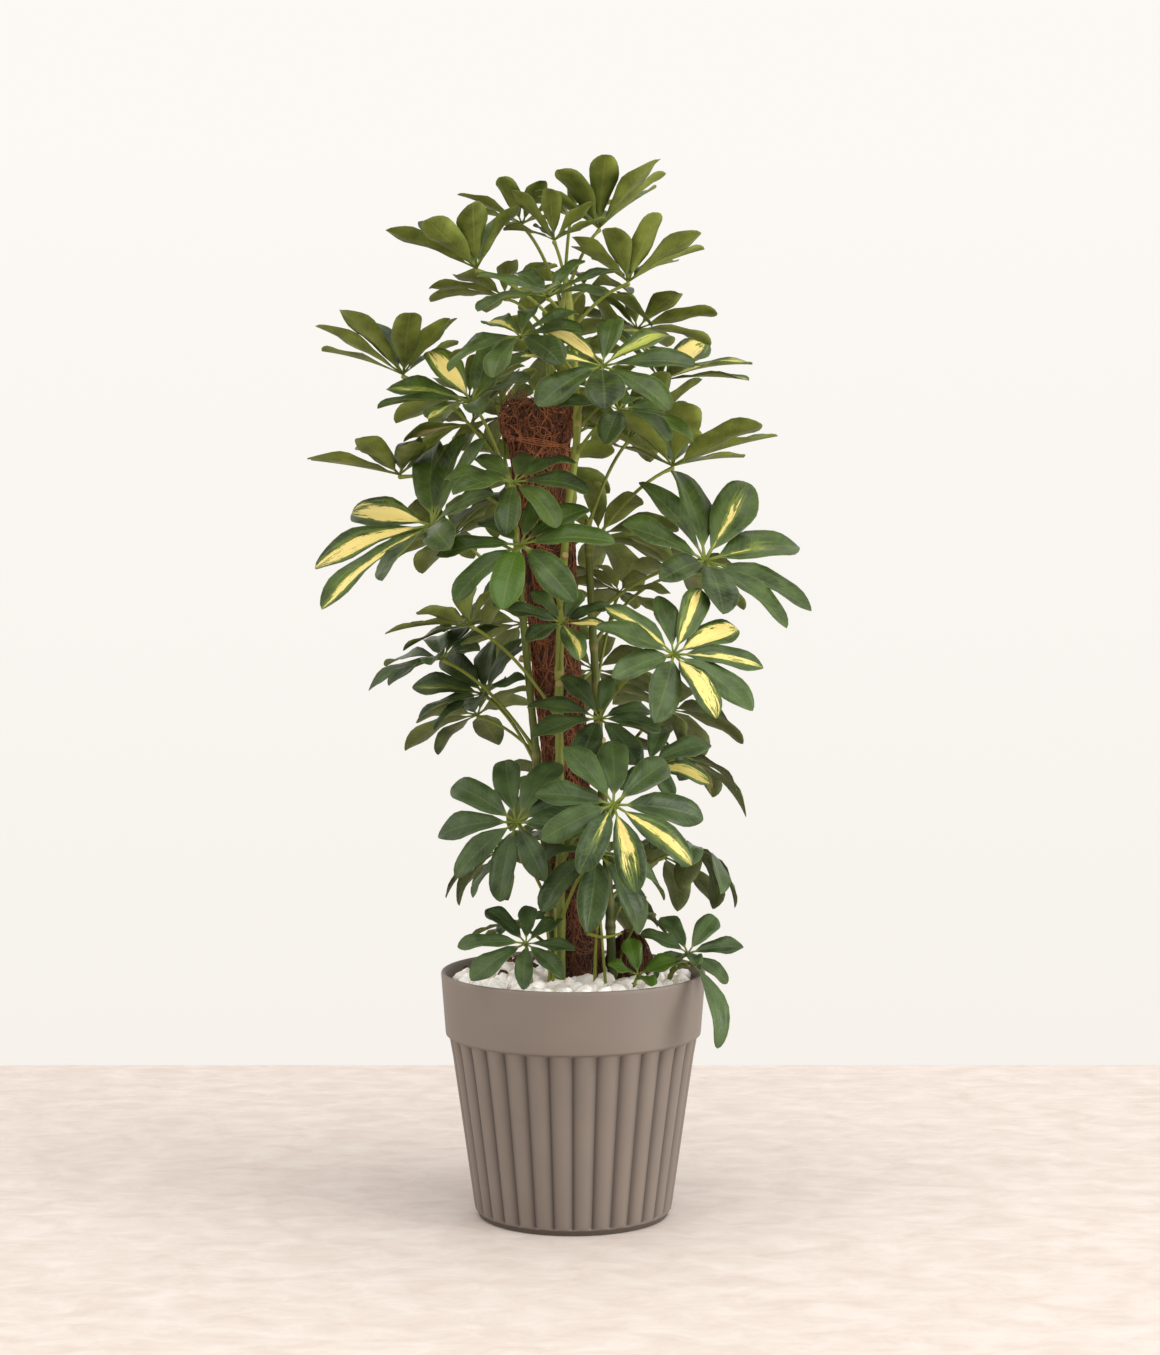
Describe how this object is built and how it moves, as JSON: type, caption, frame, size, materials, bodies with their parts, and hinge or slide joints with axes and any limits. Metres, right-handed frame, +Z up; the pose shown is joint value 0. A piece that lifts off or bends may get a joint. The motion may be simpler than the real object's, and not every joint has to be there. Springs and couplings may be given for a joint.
{
  "type": "potted umbrella plant",
  "caption": "variegated umbrella plant of palmate leaves trained up a coir pole, in a fluted pot topped with white stone chips",
  "frame": {"origin": "centre of the pot's underside", "axes": "+Z up along the pot and the plant, -Y towards the viewer (front), +X to the viewer's right"},
  "size_m": [0.5653, 0.5548, 1.1906],
  "materials": {
    "pot": "matt moulded plastic, taupe grey",
    "soil": "loose dark potting mix",
    "chips": "tumbled white marble chips",
    "coir": "tangled brown coconut fibre",
    "core": "plain round stake",
    "leaf": "leathery green leaf with a soft gloss, yellow-cream variegation"
  },
  "bodies": {
    "root": {"pot": "pot", "soil": "soil", "stone_chips": "chips", "coir_wrap": "coir", "pole_core": "core", "stem_left": "leaf", "stem_front": "leaf", "stem_right": "leaf", "stem_back": "leaf", "shoot_left": "leaf", "shoot_right": "leaf", "seedling": "leaf"}
  },
  "joints": []
}
